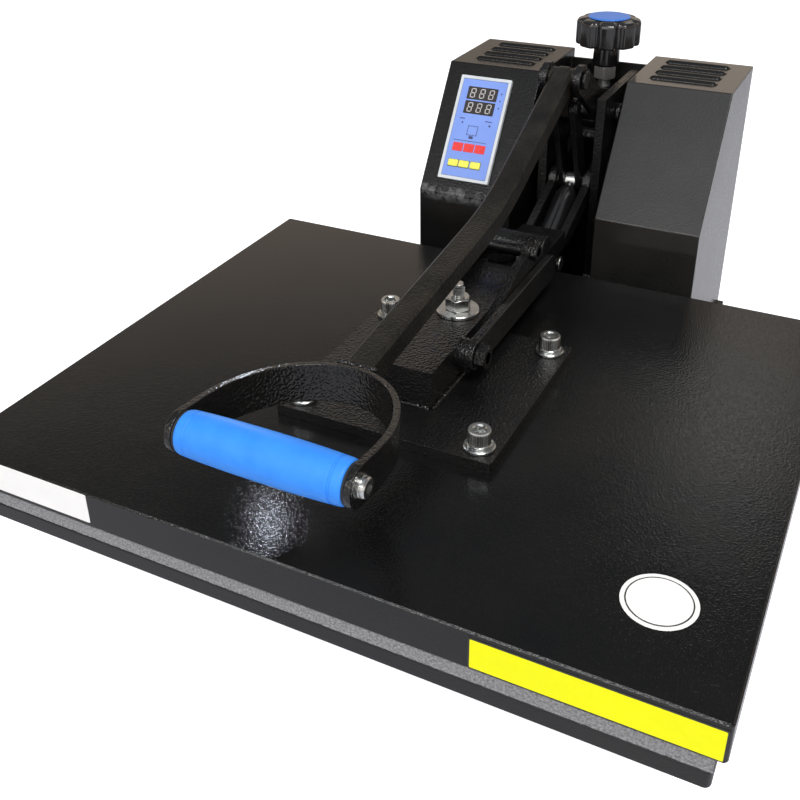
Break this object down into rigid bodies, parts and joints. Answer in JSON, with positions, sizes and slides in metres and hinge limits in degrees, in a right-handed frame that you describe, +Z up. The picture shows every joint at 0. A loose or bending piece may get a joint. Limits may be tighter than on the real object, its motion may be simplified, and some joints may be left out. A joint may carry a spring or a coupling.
{
  "type": "clamshell heat press",
  "caption": "Clamshell heat press: a lever and toggle lift and clamp a flat heating platen over a padded lower platen, with a pressure knob, gas spring and controller.",
  "frame": {"origin": "centre of the bounding box on the table", "axes": "+Z up, +Y to the back, +X to the right as the operator sees it"},
  "size_m": [0.52, 0.6571, 0.337],
  "materials": {
    "powder_coat": "textured black powder coat",
    "dark_steel": "dark",
    "zinc": "zinc plated",
    "aluminium": "machined",
    "silicone": "matt grey",
    "rubber": "matt black",
    "blue_grip": "matt blue",
    "black_plastic": "gloss black",
    "bezel_plastic": "light grey",
    "panel_film": "satin film",
    "yellow_key": "satin"
  },
  "bodies": {
    "base": {"anvil_bar": "dark_steel", "arm_shaft": "dark_steel", "base_frame": "powder_coat", "base_plate": "powder_coat", "controller_bezel": "bezel_plastic", "controller_panel": "panel_film", "housing_left": "powder_coat", "housing_right": "powder_coat", "lower_platen": "powder_coat", "mains_inlet": "black_plastic", "platen_support_front": "powder_coat", "platen_support_rear": "powder_coat", "rear_wall": "powder_coat", "rubber_foot_front_left": "rubber", "rubber_foot_front_right": "rubber", "rubber_foot_rear_left": "rubber", "rubber_foot_rear_right": "rubber", "silicone_pad": "silicone", "spring_bracket": "powder_coat", "spring_pin": "zinc", "upright_left": "powder_coat", "upright_right": "powder_coat", "yoke_shaft": "dark_steel"},
    "yoke": {"yoke_plate_left": "powder_coat", "yoke_plate_right": "powder_coat", "yoke_nut": "dark_steel", "lever_pin": "dark_steel"},
    "screw": {"pressure_screw": "zinc", "knob_wheel": "black_plastic", "knob_cap": "blue_grip"},
    "lever": {"lever_bar": "powder_coat", "handle_strip": "powder_coat", "grip": "blue_grip", "grip_washer_left": "rubber", "grip_washer_right": "rubber", "grip_bolt": "zinc"},
    "arm": {"rear_arm": "powder_coat", "arm_rib_left": "powder_coat", "arm_rib_right": "powder_coat", "arm_strap_left": "powder_coat", "arm_strap_right": "powder_coat", "front_bolt": "powder_coat", "rib_bolt": "powder_coat", "channel_block": "powder_coat", "levelling_stud": "zinc", "mounting_plate": "powder_coat", "plate_bolt_front_left": "zinc", "plate_bolt_front_right": "zinc", "plate_bolt_rear_left": "zinc", "plate_bolt_rear_right": "zinc", "cover": "powder_coat", "heating_platen": "aluminium"},
    "links": {"toggle_link_left": "dark_steel", "toggle_link_right": "dark_steel"},
    "spring_tube": {"gas_spring_tube": "dark_steel"},
    "spring_rod": {"gas_spring_rod": "zinc"},
    "key_1": {"key_1": "yellow_key"},
    "key_2": {"key_2": "yellow_key"},
    "key_3": {"key_3": "yellow_key"},
    "rocker": {"rocker": "black_plastic"}
  },
  "joints": [
    {"name": "knob_turn", "type": "hinge", "parent": "base", "child": "screw", "pos_m": [0, 0.2963, 0.25], "axis": [0, 0, 1], "range_deg": [0, 540]},
    {"name": "yoke_tilt", "type": "hinge", "parent": "base", "child": "yoke", "pos_m": [0, 0.2418, 0.2595], "axis": [-1, 0, 0], "range_deg": [0, 2.76]},
    {"name": "lever_swing", "type": "hinge", "parent": "yoke", "child": "lever", "pos_m": [0, 0.1673, 0.309], "axis": [-1, 0, 0], "range_deg": [0, 83.5]},
    {"name": "arm_swing", "type": "hinge", "parent": "base", "child": "arm", "pos_m": [0, 0.2743, 0.224], "axis": [-1, 0, 0], "range_deg": [0, 40]},
    {"name": "link_swing", "type": "hinge", "parent": "arm", "child": "links", "pos_m": [0, 0.21409, 0.1985], "axis": [1, 0, 0], "range_deg": [0, 72.35]},
    {"name": "spring_swing", "type": "hinge", "parent": "base", "child": "spring_tube", "pos_m": [0, 0.1313, 0.15], "axis": [1, 0, 0], "range_deg": [0, 18.82]},
    {"name": "spring_stroke", "type": "slide", "parent": "spring_tube", "child": "spring_rod", "axis": [0, 0.8629, 0.5055], "range_m": [0, 0.02717]},
    {"name": "key_1_press", "type": "slide", "parent": "base", "child": "key_1", "axis": [0, 0.8363, -0.5482], "range_m": [0, 0.0008], "stiffness_N_per_m": 400},
    {"name": "key_2_press", "type": "slide", "parent": "base", "child": "key_2", "axis": [0, 0.8363, -0.5482], "range_m": [0, 0.0008], "stiffness_N_per_m": 400},
    {"name": "key_3_press", "type": "slide", "parent": "base", "child": "key_3", "axis": [0, 0.8363, -0.5482], "range_m": [0, 0.0008], "stiffness_N_per_m": 400},
    {"name": "rocker_tip", "type": "hinge", "parent": "base", "child": "rocker", "pos_m": [-0.087, 0.3282, 0.1315], "axis": [1, 0, 0], "range_deg": [0, 16]}
  ],
  "couplings": [
    {"joint": "yoke_tilt", "follows": "knob_turn", "ratio": 0.005109},
    {"joint": "arm_swing", "follows": "lever_swing", "ratio": 0.47907},
    {"joint": "link_swing", "follows": "lever_swing", "ratio": 0.86652},
    {"joint": "spring_swing", "follows": "lever_swing", "ratio": 0.22535},
    {"joint": "spring_stroke", "follows": "lever_swing", "m_per_rad": 0.018643}
  ]
}
